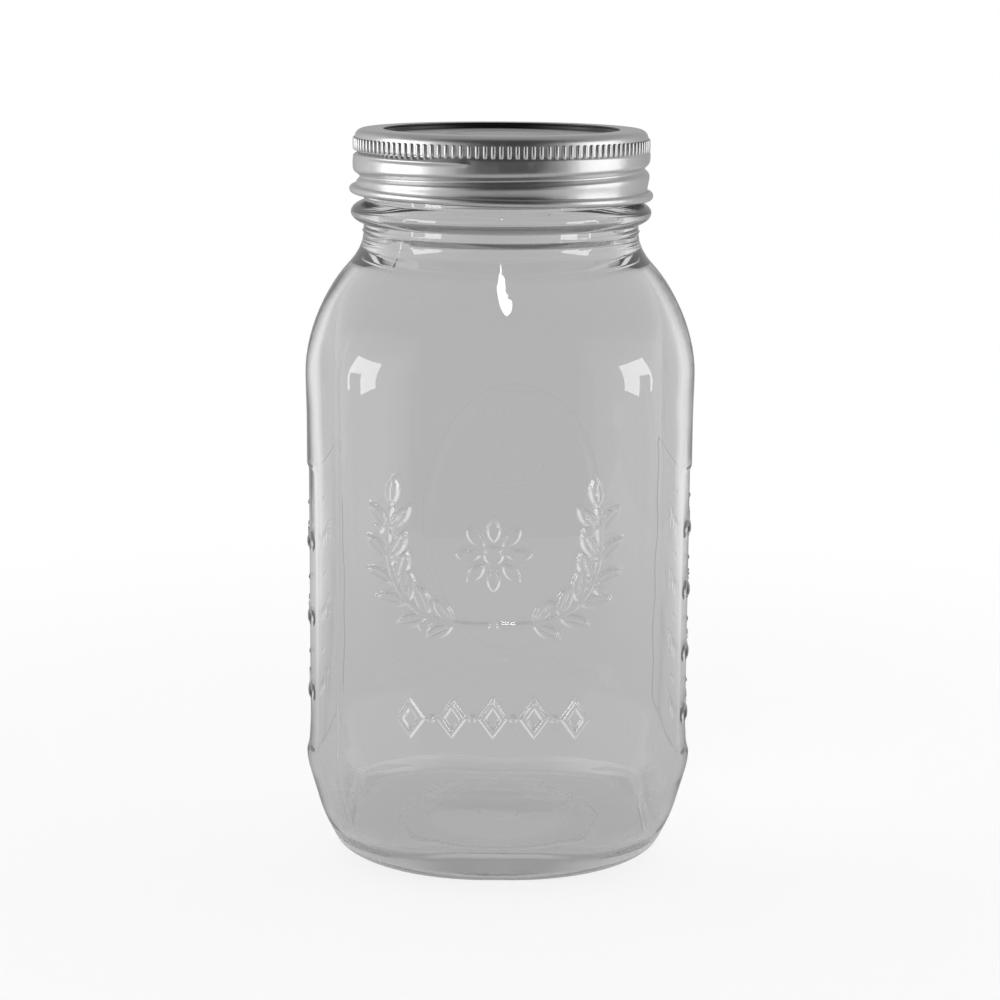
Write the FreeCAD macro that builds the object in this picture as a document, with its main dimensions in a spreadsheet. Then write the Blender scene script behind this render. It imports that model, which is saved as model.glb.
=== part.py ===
"""Parametric model of a glass storage jar with a two-piece metal closure.

Every length is in millimetres.  The jar stands on z = 0 with its axis on Z and
the decorated front towards -Y.  The closure seats face to face on the glass:
sealing ring on the lip, disc on the ring, flange of the screw band on the disc.
"""
import FreeCAD, Part
import Sketcher
import math
import os

# Driving sizes.  Each one is written once, here, and lives in the sheet.
SIZES = {
    # glass body, measured across its flats as half widths
    "body_half": 47.0,
    "body_corner_offset": 16.4,
    "heel_contact_height": 25.5,
    "panel_drop": 0.5,
    "contact_blend": 11.0,
    "shoulder_drop": 0.3,
    "shoulder_height": 121.0,
    "shoulder_radius": 36.0,
    "heel_taper": 16.0,
    "heel_radius": 4.6,
    "foot_corner_offset": 3.0,
    "foot_square_height": 12.0,
    "grip_depth": 0.45,
    "grip_reach": 24.9,
    "grip_lift": 2.5,
    "grip_drop": 22.5,
    "wall": 3.0,
    "floor_thickness": 6.0,
    "inner_heel_radius": 5.0,
    "pushup_radius": 27.0,
    "pushup_rise": 2.2,
    "baffle_ring_inset": 1.3,
    "baffle_ring_step": 0.4,
    # neck and finish
    "bore_radius": 30.15,
    "bore_clearance": 0.1,
    "finish_wall": 3.25,
    "finish_height": 23.3,
    "neck_swell": 0.1,
    "neck_length": 4.24,
    "neck_corner_offset": 0.5,
    "neck_blend": 3.8,
    "neck_flare": 1.2,
    "seam_ring": 0.35,
    "bead_overhang": 3.2,
    "bead_half_height": 2.7,
    "bead_round": 3.4,
    "bead_rise": 4.9,
    "lip_round": 1.1,
    # sealing ring, set in from both edges of the lip
    "seal_thickness": 0.6,
    "seal_inner_inset": 0.45,
    "seal_outer_inset": 0.2,
    # lid disc
    "disc_overhang": 0.75,
    "disc_sheet": 0.5,
    "disc_well_clearance": 2.55,
    "disc_well_depth": 0.9,
    "disc_rib_radius": 14.0,
    "disc_rib_height": 0.35,
    "disc_rib_width": 1.6,
    # screw band
    "band_sheet": 0.5,
    "band_gap": 1.4,
    "band_clearance": 0.75,
    "band_cover": 5.6,
    "band_shoulder_width": 2.0,
    "band_shoulder_round": 2.1,
    "skirt_inset": 0.2,
    "knurl_wall": 1.05,
    "knurl_top_drop": 1.9,
    "knurl_length": 3.4,
    "knurl_depth": 0.42,
    "knurl_count": 120,
    "knurl_ledge": 0.2,
    "knurl_runout": 0.3,
    "thread_groove_depth": 0.95,
    "thread_groove_half": 1.7,
    "upper_groove_drop": 6.5,
    "lower_groove_drop": 11.1,
    "groove_round": 0.9,
    "curl_radius": 0.8,
    "curl_round": 0.84,
    # how far a cut runs past the face it opens
    "cut_overlap": 0.5,
}

# How many sections the lofts of the glass take.
HEEL_STEPS = 4
OUTER_STEPS = 5
INNER_STEPS = 6

# How near to a level an edge has to lie to count as being in it.
LEVEL_GAP = 0.01


class Size:
    """A value together with the sheet expression that gives it."""

    def __init__(self, value, text):
        self.value = float(value)
        self.text = text

    @staticmethod
    def of(other):
        return other if isinstance(other, Size) else Size(other, repr(float(other)))

    def _join(self, other, sign, value):
        return Size(value, "(%s %s %s)" % (self.text, sign, other.text))

    def __add__(self, other):
        other = Size.of(other)
        return self._join(other, "+", self.value + other.value)

    def __sub__(self, other):
        other = Size.of(other)
        return self._join(other, "-", self.value - other.value)

    def __mul__(self, other):
        other = Size.of(other)
        return self._join(other, "*", self.value * other.value)

    def __truediv__(self, other):
        other = Size.of(other)
        return self._join(other, "/", self.value / other.value)

    def __radd__(self, other):
        return Size.of(other) + self

    def __rsub__(self, other):
        return Size.of(other) - self

    def __rmul__(self, other):
        return Size.of(other) * self


def root(size):
    """Square root of a size."""
    return Size(math.sqrt(size.value), "sqrt(%s)" % size.text)


def tangent(size):
    """Tangent of an angle held as plain degrees."""
    return Size(math.tan(math.radians(size.value)), "tan(%s * 1deg)" % size.text)


def sine(size):
    """Sine of an angle held as plain degrees."""
    return Size(math.sin(math.radians(size.value)), "sin(%s * 1deg)" % size.text)


def cosine(size):
    """Cosine of an angle held as plain degrees."""
    return Size(math.cos(math.radians(size.value)), "cos(%s * 1deg)" % size.text)


doc = FreeCAD.newDocument("StorageJar")
sheet = doc.addObject("Spreadsheet::Sheet", "Sizes")
for row, (name, number) in enumerate(SIZES.items(), start=1):
    sheet.set("A%d" % row, name)
    sheet.set("B%d" % row, str(number))
    sheet.setAlias("B%d" % row, name)
doc.recompute()


def size(name):
    """The named cell of the sheet."""
    return Size(SIZES[name], "Sizes." + name)


# Levels and half widths that several pieces share.
corner_offset = size("body_corner_offset")
neck_offset = size("neck_corner_offset")
panel_half = size("body_half") - size("panel_drop")
shoulder_half = size("body_half") - size("shoulder_drop")
shoulder_centre = shoulder_half - size("shoulder_radius")
finish_radius = size("bore_radius") + size("finish_wall")
neck_radius = finish_radius + size("neck_swell")
shoulder_top = size("shoulder_height") + root(
    size("shoulder_radius") * size("shoulder_radius")
    - (neck_radius - shoulder_centre) * (neck_radius - shoulder_centre))
seam_height = shoulder_top + size("neck_length")
bead_height = seam_height + size("bead_rise")
lip_height = seam_height + size("finish_height")
disc_seat = lip_height + size("seal_thickness")
flange_seat = disc_seat + size("disc_sheet")
top_height = flange_seat + size("band_sheet")
disc_radius = finish_radius + size("disc_overhang")


def origin_plane(body, role):
    """The origin plane of a body by its role."""
    return next(f for f in body.Origin.OriginFeatures if f.Role == role)


def new_body(label):
    """A part design body whose label names its file."""
    body = doc.addObject("PartDesign::Body", label)
    body.Label = label
    return body


def new_sketch(body, name, role, height=None):
    """A sketch on an origin plane of its body, raised to a height if one is given."""
    sketch = body.newObject("Sketcher::SketchObject", name)
    sketch.AttachmentSupport = [(origin_plane(body, role), "")]
    sketch.MapMode = "FlatFace"
    if height is not None:
        sketch.AttachmentOffset = FreeCAD.Placement(
            FreeCAD.Vector(0, 0, height.value), FreeCAD.Rotation())
        sketch.setExpression("AttachmentOffset.Base.z", height.text)
    return sketch


def bind(sketch, kind, *where, to):
    """Add a dimension to a sketch and tie it to the sheet."""
    index = sketch.addConstraint(Sketcher.Constraint(kind, *where, to.value))
    sketch.setExpression("Constraints[%d]" % index, to.text)


def rounded_square(body, name, height, half, offset):
    """Sketch of a square with round corners, its corner centres `offset` from the axis."""
    sketch = new_sketch(body, name, "XY_Plane", height)
    h, k = half.value, offset.value
    r = h - k
    turns = [math.radians(90 * i) for i in range(4)]

    def turned(x, y, a):
        return FreeCAD.Vector(x * math.cos(a) - y * math.sin(a),
                              x * math.sin(a) + y * math.cos(a), 0)

    for a in turns:
        sketch.addGeometry(Part.LineSegment(turned(h, -k, a), turned(h, k, a)))
        circle = Part.Circle(turned(k, k, a), FreeCAD.Vector(0, 0, 1), r)
        sketch.addGeometry(Part.ArcOfCircle(circle, a, a + math.pi / 2))
    for i in range(4):
        line, arc, following = 2 * i, 2 * i + 1, (2 * i + 2) % 8
        sketch.addConstraint(Sketcher.Constraint("Tangent", line, 2, arc, 1))
        sketch.addConstraint(Sketcher.Constraint("Tangent", arc, 2, following, 1))
        upright = "Vertical" if i % 2 == 0 else "Horizontal"
        sketch.addConstraint(Sketcher.Constraint(upright, line))
        if i:
            sketch.addConstraint(Sketcher.Constraint("Equal", 1, arc))
    sketch.addConstraint(Sketcher.Constraint("Symmetric", 1, 3, 5, 3, -1, 1))
    bind(sketch, "Radius", 1, to=half - offset)
    bind(sketch, "DistanceX", 3, 3, 1, 3, to=offset * 2)
    bind(sketch, "DistanceY", 7, 3, 1, 3, to=offset * 2)
    return sketch


def outline(body, name, points, arcs=None):
    """Closed sketch on the XZ plane through (radius, height) points.

    arcs maps the number of a point to (radius, side) where the edge that leaves
    that point is an arc; side is +1 where its centre lies to the left of the edge.
    An arc runs counterclockwise, so one whose side is -1 starts at its far point.
    """
    arcs = arcs or {}
    sketch = new_sketch(body, name, "XZ_Plane")
    count = len(points)
    spots = [FreeCAD.Vector(p[0].value, p[1].value, 0) for p in points]
    ends = [(1, 2)] * count
    for i in range(count):
        start, end = spots[i], spots[(i + 1) % count]
        if i not in arcs:
            sketch.addGeometry(Part.LineSegment(start, end))
            continue
        radius, side = arcs[i]
        if side < 0:
            start, end = end, start
            ends[i] = (2, 1)
        chord = end - start
        left = FreeCAD.Vector(-chord.y, chord.x, 0).normalize()
        reach = math.sqrt(max(radius.value ** 2 - (chord.Length / 2) ** 2, 0))
        centre = (start + end) * 0.5 + left * reach
        first = math.atan2(start.y - centre.y, start.x - centre.x)
        sweep = 2 * math.asin(min(chord.Length / 2 / radius.value, 1))
        circle = Part.Circle(centre, FreeCAD.Vector(0, 0, 1), radius.value)
        sketch.addGeometry(Part.ArcOfCircle(circle, first, first + sweep))
    for i in range(count):
        following = (i + 1) % count
        sketch.addConstraint(Sketcher.Constraint(
            "Coincident", i, ends[i][1], following, ends[following][0]))
    for i, (x, z) in enumerate(points):
        if abs(x.value) < 1e-9:
            sketch.addConstraint(Sketcher.Constraint("PointOnObject", i, ends[i][0], -2))
        else:
            bind(sketch, "DistanceX", -1, 1, i, ends[i][0], to=x)
        if abs(z.value) < 1e-9:
            sketch.addConstraint(Sketcher.Constraint("PointOnObject", i, ends[i][0], -1))
        else:
            bind(sketch, "DistanceY", -1, 1, i, ends[i][0], to=z)
    for i, (radius, _) in arcs.items():
        bind(sketch, "Radius", i, to=radius)
    return sketch


def turn(body, kind, name, sketch):
    """Revolve a sketch all the way round Z, to add or to cut."""
    feature = body.newObject("PartDesign::" + kind, name)
    feature.Profile = sketch
    feature.ReferenceAxis = (sketch, ["V_Axis"])
    feature.Angle = 360
    doc.recompute()
    return feature


def skin(body, kind, name, sketches, ruled=False):
    """Loft through sketches, to add or to cut."""
    feature = body.newObject("PartDesign::" + kind, name)
    feature.Profile = sketches[0]
    feature.Sections = sketches[1:]
    feature.Ruled = ruled
    doc.recompute()
    return feature


def tapered(body, kind, name, sketch, length, taper):
    """Pad or pocket a sketch upwards, widening by a taper in degrees."""
    feature = body.newObject("PartDesign::" + kind, name)
    feature.Profile = sketch
    feature.Type = "Length"
    feature.Reversed = kind == "Pocket"
    feature.Length = length.value
    feature.setExpression("Length", length.text)
    feature.TaperAngle = taper.value
    feature.setExpression("TaperAngle", taper.text)
    doc.recompute()
    return feature


def edges_at(shape, height):
    """Names of the edges that lie in the level plane at a height."""
    names = []
    for i, edge in enumerate(shape.Edges, start=1):
        box = edge.BoundBox
        if abs(box.ZMin - height) < LEVEL_GAP and abs(box.ZMax - height) < LEVEL_GAP:
            names.append("Edge%d" % i)
    return names


def fillet(body, name, base, edges, radius):
    """Round the named edges of a feature."""
    feature = body.newObject("PartDesign::Fillet", name)
    feature.Base = (base, edges)
    feature.Radius = radius.value
    feature.setExpression("Radius", radius.text)
    doc.recompute()
    return feature


def heel_line(inset, level):
    """Half width of the tapered heel at a level."""
    rise = size("heel_contact_height") - level
    return size("body_half") - inset - tangent(size("heel_taper")) * rise


def heel_stations(steps):
    """Sections up the rolled edge of the foot, which is nearly round at the floor."""
    none = Size(0, "0")
    radius = size("heel_radius")
    taper = size("heel_taper")
    foot = heel_line(none, none) + radius * tangent(taper) - radius / cosine(taper)
    low, high = size("foot_corner_offset"), corner_offset
    stations = []
    for i in range(steps + 1):
        turn = (90 - taper) * (i / steps)
        rise = radius * (1 - cosine(turn))
        square = low + (high - low) * rise / size("foot_square_height")
        stations.append((rise, foot + radius * sine(turn), square))
    return stations


def panel_stations(inset):
    """Sections from the heel contact ring up the recessed panel to the shoulder contact."""
    low = size("heel_contact_height")
    high = size("shoulder_height")
    blend = size("contact_blend")
    panel = panel_half - inset
    stations = [
        (low, size("body_half") - inset),
        (low + blend, panel),
        (high - blend, panel),
        (high, shoulder_half - inset),
    ]
    return [(z, half, corner_offset) for z, half in stations]


def shoulder_stations(inset, top, steps):
    """Sections up the round shoulder, where the square fades to the round neck."""
    radius = size("shoulder_radius") - inset
    low = size("shoulder_height")
    stations = []
    for i in range(steps):
        share = i / steps
        rise = (top - low) * share
        half = shoulder_centre + root(radius * radius - rise * rise)
        fade = (1 + math.cos(math.pi * share)) / 2
        offset = neck_offset + (corner_offset - neck_offset) * fade
        stations.append((low + rise, half, offset))
    return stations


def sections(body, name, stations):
    """One rounded square sketch for each station."""
    return [rounded_square(body, "%s_%d" % (name, i), *station)
            for i, station in enumerate(stations)]


def grip_panels(body):
    """Shallow panels sunk in the left and right sides, wrapping a little round the corners."""
    low = size("heel_contact_height") + size("grip_lift")
    face = panel_half - size("grip_depth")
    outside = size("body_half") + size("cut_overlap")
    reach = size("grip_reach")
    k = corner_offset.value
    radius = face.value - k
    end = math.asin((reach.value - k) / radius)
    tip = k + radius * math.cos(end)
    sketch = new_sketch(body, "grip", "XY_Plane", low)
    spots = [(face.value, -k), (face.value, k), (tip, reach.value), (outside.value, reach.value),
             (outside.value, -reach.value), (tip, -reach.value)]
    spots = [FreeCAD.Vector(x, y, 0) for x, y in spots]
    upward = FreeCAD.Vector(0, 0, 1)
    upper = Part.Circle(FreeCAD.Vector(k, k, 0), upward, radius)
    lower = Part.Circle(FreeCAD.Vector(k, -k, 0), upward, radius)
    sketch.addGeometry(Part.LineSegment(spots[0], spots[1]))
    sketch.addGeometry(Part.ArcOfCircle(upper, 0, end))
    sketch.addGeometry(Part.LineSegment(spots[2], spots[3]))
    sketch.addGeometry(Part.LineSegment(spots[3], spots[4]))
    sketch.addGeometry(Part.LineSegment(spots[4], spots[5]))
    sketch.addGeometry(Part.ArcOfCircle(lower, -end, 0))
    for joint in [("Tangent", 0, 2, 1, 1), ("Coincident", 1, 2, 2, 1), ("Coincident", 2, 2, 3, 1),
                  ("Coincident", 3, 2, 4, 1), ("Coincident", 4, 2, 5, 1), ("Tangent", 5, 2, 0, 1),
                  ("Vertical", 3), ("Horizontal", 2), ("Horizontal", 4),
                  ("Symmetric", 0, 1, 0, 2, -1)]:
        sketch.addConstraint(Sketcher.Constraint(*joint))
    bind(sketch, "DistanceX", -1, 1, 1, 3, to=corner_offset)
    bind(sketch, "DistanceY", -1, 1, 1, 3, to=corner_offset)
    bind(sketch, "Radius", 1, to=face - corner_offset)
    bind(sketch, "Radius", 5, to=face - corner_offset)
    bind(sketch, "DistanceX", -1, 1, 3, 1, to=outside)
    bind(sketch, "DistanceY", -1, 1, 2, 1, to=reach)
    bind(sketch, "DistanceY", 5, 1, -1, 1, to=reach)
    cut = body.newObject("PartDesign::Pocket", "Grip")
    cut.Profile = sketch
    cut.Type = "Length"
    cut.Reversed = True
    length = size("shoulder_height") - size("grip_drop") - low
    cut.Length = length.value
    cut.setExpression("Length", length.text)
    doc.recompute()
    pattern = body.newObject("PartDesign::PolarPattern", "Grips")
    pattern.Originals = [cut]
    pattern.Axis = (sketch, ["N_Axis"])
    pattern.Angle = 360
    pattern.Occurrences = 2
    body.Tip = pattern
    doc.recompute()


def glass_jar():
    """Square-shouldered jar: lofted body, turned finish, cavity, bore and pushed-up base."""
    body = new_body("glass_jar")
    none = Size(0, "0")
    seam = seam_height
    neck = neck_radius
    outer = shoulder_stations(none, seam - size("neck_blend") * 2, OUTER_STEPS)
    outer += [(seam - size("neck_blend"), neck + size("neck_flare"), neck_offset),
              (seam, neck, neck_offset)]
    contact = size("heel_contact_height")
    rolled = heel_stations(HEEL_STEPS)
    square = size("foot_square_height")
    heel = [rolled[-1], (square, heel_line(none, square), corner_offset),
            (contact, size("body_half"), corner_offset)]
    skin(body, "AdditiveLoft", "Foot", sections(body, "foot", rolled))
    skin(body, "AdditiveLoft", "Heel", sections(body, "heel", heel), ruled=True)
    skin(body, "AdditiveLoft", "Panel", sections(body, "panel", panel_stations(none)), ruled=True)
    skin(body, "AdditiveLoft", "Shoulder", sections(body, "outer", outer))

    finish = finish_radius
    lip = lip_height
    soft = size("lip_round")
    bead = bead_height
    reach = size("bead_half_height")
    ring = size("seam_ring")
    points = [
        (none, seam),
        (neck + ring, seam),
        (neck + ring, seam + ring),
        (neck, seam + ring * 2),
        (neck, bead - reach),
        (finish + size("bead_overhang"), bead),
        (finish, bead + reach),
        (finish, lip - soft),
        (finish - soft, lip),
        (none, lip),
    ]
    bulge = size("bead_round")
    turned = outline(body, "finish", points, {4: (bulge, 1), 5: (bulge, 1), 7: (soft, 1)})
    turn(body, "Revolution", "Finish", turned)

    wall = size("wall")
    bore = size("bore_radius")
    bore_start = size("shoulder_height") + root(
        (size("shoulder_radius") - wall) * (size("shoulder_radius") - wall)
        - (bore - shoulder_centre) * (bore - shoulder_centre))
    inner = shoulder_stations(wall, bore_start, INNER_STEPS)
    inner += [(bore_start, bore - size("bore_clearance"), neck_offset)]
    skin(body, "SubtractiveLoft", "InsideShoulder", sections(body, "inner", inner))
    skin(body, "SubtractiveLoft", "InsidePanel", sections(body, "hollow", panel_stations(wall)), ruled=True)
    level = size("floor_thickness")
    well_foot = rounded_square(body, "well", level, heel_line(wall, level), corner_offset)
    well = tapered(body, "Pocket", "Well", well_foot, contact - level, size("heel_taper"))
    fillet(body, "InnerHeel", well, edges_at(well.Shape, level.value), size("inner_heel_radius"))

    over = size("cut_overlap")
    mouth = [
        (none, bore_start - over),
        (bore, bore_start - over),
        (bore, lip - soft),
        (bore + soft, lip),
        (bore + soft, lip + over),
        (none, lip + over),
    ]
    turn(body, "Groove", "Bore", outline(body, "bore", mouth, {2: (soft, -1)}))

    step = size("baffle_ring_step")
    ring_mark = size("pushup_radius") - size("baffle_ring_inset")
    base = [
        (none, none - over),
        (size("pushup_radius"), none - over),
        (size("pushup_radius"), none),
        (ring_mark, step),
        (ring_mark - step, step * 2),
        (none, size("pushup_rise")),
    ]
    turn(body, "Groove", "PushUp", outline(body, "pushup", base))
    grip_panels(body)
    return body


def sealing_ring():
    """Moulded ring between the lip of the jar and the disc."""
    body = new_body("sealing_ring")
    low, high = lip_height, disc_seat
    near = size("bore_radius") + size("seal_inner_inset")
    far = finish_radius - size("seal_outer_inset")
    ring = outline(body, "seal", [(near, low), (far, low), (far, high), (near, high)])
    turn(body, "Revolution", "Ring", ring)
    return body


def lid_disc():
    """Flat disc with a rim channel, a lowered middle and one pressed rib."""
    body = new_body("lid_disc")
    none = Size(0, "0")
    sheet_gauge = size("disc_sheet")
    top = flange_seat
    well = size("bore_radius") - size("disc_well_clearance")
    drop = size("disc_well_depth")
    rib = size("disc_rib_radius")
    width = size("disc_rib_width")
    lift = size("disc_rib_height")
    points = [
        (none, top - drop - sheet_gauge),
        (well - sheet_gauge, top - drop - sheet_gauge),
        (well + drop, top - sheet_gauge),
        (disc_radius, top - sheet_gauge),
        (disc_radius, top),
        (well + drop, top),
        (well, top - drop),
        (rib + width, top - drop),
        (rib + width / 2, top - drop + lift),
        (rib - width / 2, top - drop + lift),
        (rib - width, top - drop),
        (none, top - drop),
    ]
    turn(body, "Revolution", "Disc", outline(body, "disc", points))
    return body


def screw_band():
    """Open-centred band: flange, knurled rim, two rolled grooves and a curled foot."""
    body = new_body("screw_band")
    gauge = size("band_sheet")
    top = top_height
    foot = bead_height + size("bead_half_height") + size("band_gap")
    knurl_inner = disc_radius + size("band_clearance")
    knurl = knurl_inner + size("knurl_wall")
    skirt = knurl - size("skirt_inset")
    knurl_top = top - size("knurl_top_drop")
    knurl_foot = knurl_top - size("knurl_length")
    ledge = size("knurl_ledge")
    groove = skirt - size("thread_groove_depth")
    wide = size("thread_groove_half")
    high = top - size("upper_groove_drop")
    low = top - size("lower_groove_drop")
    crown = (high + low) / 2
    curl = size("curl_radius")
    bend = size("band_shoulder_width")
    opening = disc_radius - size("band_cover")
    points = [
        (opening, top - gauge),
        (knurl_inner, top - gauge),
        (knurl_inner, knurl_foot - ledge),
        (groove - gauge, high),
        (skirt - gauge, crown),
        (groove - gauge, low),
        (skirt - gauge, low - wide),
        (skirt - gauge, foot),
        (skirt + curl / 2, foot),
        (skirt + curl / 2, foot + curl * 2),
        (skirt, foot + curl * 2 + ledge),
        (skirt, low - wide),
        (groove, low),
        (skirt, crown),
        (groove, high),
        (knurl - size("knurl_depth") - ledge, knurl_foot - ledge),
        (knurl, knurl_foot),
        (knurl, knurl_top),
        (knurl - bend, top),
        (opening, top),
    ]
    arcs = {8: (size("curl_round"), 1), 17: (size("band_shoulder_round"), 1)}
    band = turn(body, "Revolution", "Band", outline(body, "band", points, arcs))
    rolled = [name for level in (high, crown, low)
              for name in edges_at(band.Shape, level.value)]
    fillet(body, "RolledGrooves", band, rolled, size("groove_round"))

    start = knurl_top + ledge
    notch = new_sketch(body, "notch", "XY_Plane", start)
    crest = knurl + ledge
    valley = knurl - size("knurl_depth")
    spread = knurl * (2 * math.pi) / size("knurl_count") * (1 + ledge / size("knurl_depth"))
    corners = [FreeCAD.Vector(valley.value, 0, 0),
               FreeCAD.Vector(crest.value, spread.value / 2, 0),
               FreeCAD.Vector(crest.value, -spread.value / 2, 0)]
    for i in range(3):
        notch.addGeometry(Part.LineSegment(corners[i], corners[(i + 1) % 3]))
    for i in range(3):
        notch.addConstraint(Sketcher.Constraint("Coincident", i, 2, (i + 1) % 3, 1))
    notch.addConstraint(Sketcher.Constraint("PointOnObject", 0, 1, -1))
    notch.addConstraint(Sketcher.Constraint("Symmetric", 1, 1, 1, 2, -1))
    bind(notch, "DistanceX", -1, 1, 0, 1, to=valley)
    bind(notch, "DistanceX", -1, 1, 1, 1, to=crest)
    bind(notch, "DistanceY", 1, 2, 1, 1, to=spread)
    cut = body.newObject("PartDesign::Pocket", "Notch")
    cut.Profile = notch
    cut.Type = "Length"
    length = size("knurl_length") + ledge + size("knurl_runout")
    cut.Length = length.value
    cut.setExpression("Length", length.text)
    doc.recompute()
    pattern = body.newObject("PartDesign::PolarPattern", "Knurls")
    pattern.Originals = [cut]
    pattern.Axis = (notch, ["N_Axis"])
    pattern.Angle = 360
    pattern.Occurrences = SIZES["knurl_count"]
    pattern.setExpression("Occurrences", "Sizes.knurl_count")
    body.Tip = pattern
    doc.recompute()
    return body


PIECES = [glass_jar(), sealing_ring(), lid_disc(), screw_band()]
doc.recompute()

for item in doc.Objects:
    if "Invalid" in item.State or "Error" in item.State:
        raise RuntimeError("%s did not compute: %s" % (item.Name, item.State))
for piece in PIECES:
    shape = piece.Shape
    if shape.isNull() or not shape.isValid() or len(shape.Solids) != 1:
        raise RuntimeError("%s is not one valid solid" % piece.Label)

os.makedirs("parts", exist_ok=True)
for piece in PIECES:
    piece.Shape.exportStep("parts/%s.step" % piece.Label)
    box = piece.Shape.BoundBox
    print("%-14s %9.1f mm3  x %.2f..%.2f  y %.2f..%.2f  z %.2f..%.2f" % (
        piece.Label, piece.Shape.Volume, box.XMin, box.XMax, box.YMin, box.YMax, box.ZMin, box.ZMax))
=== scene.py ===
"""Looks of a glass storage jar with a two-piece metal closure.

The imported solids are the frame.  The glass gets one closed mesh with its moulded relief, the
screw band a rolled sheet with its thread and knurls, the disc a pressed sheet, and the sealing
ring keeps its solid under a new finish.  Sizes of pieces are in millimetres and degrees; those
of finishes and of the studio are in metres, as the meshes are.
"""

import logging
import math
from dataclasses import dataclass, field
from enum import Enum
from typing import Any, Callable, Iterable, Optional, Sequence

import bmesh
import bpy
import numpy as np
from mathutils import Matrix, Vector

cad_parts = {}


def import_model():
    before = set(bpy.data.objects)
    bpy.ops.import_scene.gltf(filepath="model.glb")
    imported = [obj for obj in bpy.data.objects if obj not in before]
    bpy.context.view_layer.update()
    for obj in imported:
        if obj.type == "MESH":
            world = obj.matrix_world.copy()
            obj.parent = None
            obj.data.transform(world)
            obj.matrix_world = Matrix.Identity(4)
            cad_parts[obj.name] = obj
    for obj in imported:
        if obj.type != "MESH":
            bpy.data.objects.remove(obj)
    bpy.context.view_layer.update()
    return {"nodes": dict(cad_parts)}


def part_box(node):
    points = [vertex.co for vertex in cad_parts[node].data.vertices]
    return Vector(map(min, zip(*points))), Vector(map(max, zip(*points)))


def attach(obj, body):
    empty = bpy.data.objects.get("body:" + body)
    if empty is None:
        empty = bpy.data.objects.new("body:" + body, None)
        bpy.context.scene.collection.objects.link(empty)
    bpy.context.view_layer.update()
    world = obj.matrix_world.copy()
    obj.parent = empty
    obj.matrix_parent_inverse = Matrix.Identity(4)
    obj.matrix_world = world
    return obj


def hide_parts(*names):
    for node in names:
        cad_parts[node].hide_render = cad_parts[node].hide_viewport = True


Array = np.ndarray
Material = bpy.types.Material
Mesh = bpy.types.Mesh
Piece = bpy.types.Object

LOG = logging.getLogger("storage_jar")
MM = 0.001
BODY = "root"
TURN = 2 * math.pi
QUARTER = math.pi / 2
FAR = 1e6
MERGED = 1e-7


# ---------------------------------------------------------------- node trees


def worked(operation: str, swapped: bool = False) -> Callable[..., "Link"]:
    """A method that works a socket and any other value through a Math node."""

    def method(self: "Link", *others: Any) -> "Link":
        """Add the node and wrap its output."""
        values = (*others, self) if swapped else (self, *others)
        return self.tree.node("ShaderNodeMath", {"operation": operation}, dict(enumerate(values)))

    return method


@dataclass
class Link:
    """An output socket that arithmetic can be written on."""

    tree: "Tree"
    socket: Any

    __add__ = __radd__ = worked("ADD")
    __sub__ = worked("SUBTRACT")
    __rsub__ = worked("SUBTRACT", swapped=True)
    __mul__ = worked("MULTIPLY")
    __pow__ = worked("POWER")
    __abs__ = worked("ABSOLUTE")
    sign = worked("SIGN")
    most = worked("MAXIMUM")

    def between(self, low: float, high: float) -> "Link":
        """Smooth step from nought at low to one at high."""
        return self.tree.node("ShaderNodeMapRange", {"interpolation_type": "SMOOTHSTEP"},
                              {"Value": self, "From Min": low, "From Max": high})


@dataclass
class Tree:
    """Builds nodes in a shader or geometry tree that has one output node."""

    tree: bpy.types.NodeTree
    out: Any

    def node(self, kind: str, settings: Optional[dict] = None, inputs: Optional[dict] = None,
             output: Any = 0) -> Link:
        """Make one node.

        Args:
            kind: the node's type name.
            settings: properties to set first.
            inputs: socket name or number to a value or a Link.
            output: name or number of the output to wrap.

        Returns:
            The wrapped output socket.
        """
        made = self.tree.nodes.new(kind)
        for name, value in (settings or {}).items():
            setattr(made, name, value)
        for name, value in (inputs or {}).items():
            if isinstance(value, Link):
                self.tree.links.new(value.socket, made.inputs[name])
            else:
                made.inputs[name].default_value = value
        return Link(self, made.outputs[output])

    def wire(self, link: Link, name: str = "Surface") -> None:
        """Join a link to the tree's output node."""
        self.tree.links.new(link.socket, self.out.inputs[name])

    def mix(self, factor: Any, first: Any, second: Any) -> Link:
        """Blend two colours, each a link, a grey level or an RGB triple."""
        first, second = (c if isinstance(c, Link) else shade(c) for c in (first, second))
        return self.node("ShaderNodeMix", {"data_type": "RGBA"},
                         {0: factor, 6: first, 7: second}, output=2)

    def either(self, factor: Link, first: Link, second: Link) -> Link:
        """Blend two shaders."""
        return self.node("ShaderNodeMixShader", inputs={0: factor, 1: first, 2: second})

    def emission(self, colour: Any) -> Link:
        """A shader that glows in a grey level or a linked colour."""
        colour = colour if isinstance(colour, Link) else shade(colour)
        return self.node("ShaderNodeEmission", inputs={"Color": colour})

    def ray(self, kind: str) -> Link:
        """What the light path says of the ray."""
        return self.node("ShaderNodeLightPath", output=kind)

    def split(self, vector: Link) -> tuple[Link, Link, Link]:
        """The three components of a vector."""
        parts = self.node("ShaderNodeSeparateXYZ", inputs={0: vector}).socket.node.outputs
        return tuple(Link(self, part) for part in parts)

    def place(self) -> Link:
        """Object coordinates."""
        return self.node("ShaderNodeTexCoord", output="Object")

    def noise(self, scale: float, detail: float) -> Link:
        """Noise factor over object coordinates."""
        return self.node("ShaderNodeTexNoise", inputs={
            "Vector": self.place(), "Scale": scale, "Detail": detail})

    def bump(self, height: Link, strength: float, distance: float) -> Link:
        """A normal that follows a height."""
        return self.node("ShaderNodeBump", inputs={
            "Strength": strength, "Distance": distance, "Height": height})


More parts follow.
